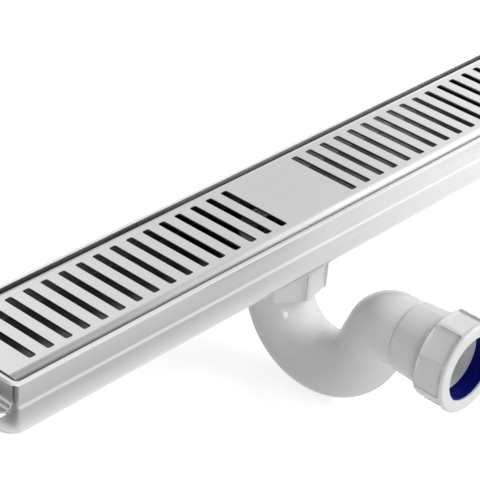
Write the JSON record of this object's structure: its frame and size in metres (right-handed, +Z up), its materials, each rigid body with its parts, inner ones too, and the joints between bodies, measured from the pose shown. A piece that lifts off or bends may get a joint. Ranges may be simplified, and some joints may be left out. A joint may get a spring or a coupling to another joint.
{
  "type": "linear shower drain",
  "caption": "Long floor drain: slotted grate in a folded steel channel with a flat fixing flange, and a white U-bend trap with grip nuts hung under its middle.",
  "frame": {"origin": "middle of the four fixing slots, on the flange's underside", "axes": "+X along the channel, +Y across it, +Z up through the grate; the trap's outlet points to -Y"},
  "size_m": [0.594, 0.2167, 0.1343],
  "materials": {
    "steel_grate": "brushed along the channel",
    "steel_sheet": "satin",
    "white_plastic": "smooth moulded",
    "grey_rubber": "matt",
    "blue_rubber": "smooth",
    "steel_cup": "satin"
  },
  "bodies": {
    "root": {"cover_grate": "steel_grate", "channel_pan": "steel_sheet", "flange_frame": "steel_sheet", "waste_body": "white_plastic", "upper_washer": "grey_rubber", "lower_washer": "grey_rubber", "waste_backnut": "white_plastic", "hair_strainer": "steel_cup", "inlet_nut": "white_plastic", "inlet_seal": "grey_rubber", "trap_bend": "white_plastic", "outlet_nut": "white_plastic", "outlet_seal": "blue_rubber"}
  },
  "joints": []
}
